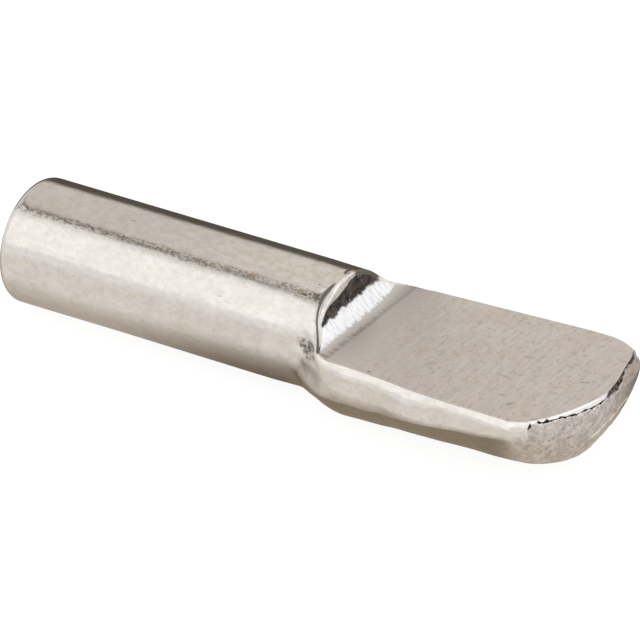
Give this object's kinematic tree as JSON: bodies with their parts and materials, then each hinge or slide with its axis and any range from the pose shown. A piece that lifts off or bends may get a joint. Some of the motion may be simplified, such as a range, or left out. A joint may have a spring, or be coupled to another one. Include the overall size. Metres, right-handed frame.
{
  "type": "shelf support pin",
  "caption": "Flat spoon shelf support pin: a round pin for a shelf hole, pressed out at one end into a flat blade that carries the shelf.",
  "frame": {"origin": "on the axis of the round pin, where the neck starts to swell at the underside, which is the face of the side panel when the pin is pushed home", "axes": "+X from the round pin towards the tip of the blade, +Z out of the flat shelf face, +Y to the left of +X"},
  "size_m": [0.0262, 0.0078, 0.0051],
  "materials": {
    "nickel_plate": "bright nickel plate over pressed steel wire, satin where the punch has brushed it"
  },
  "bodies": {
    "root": {"shelf_pin": "nickel_plate"}
  },
  "joints": []
}
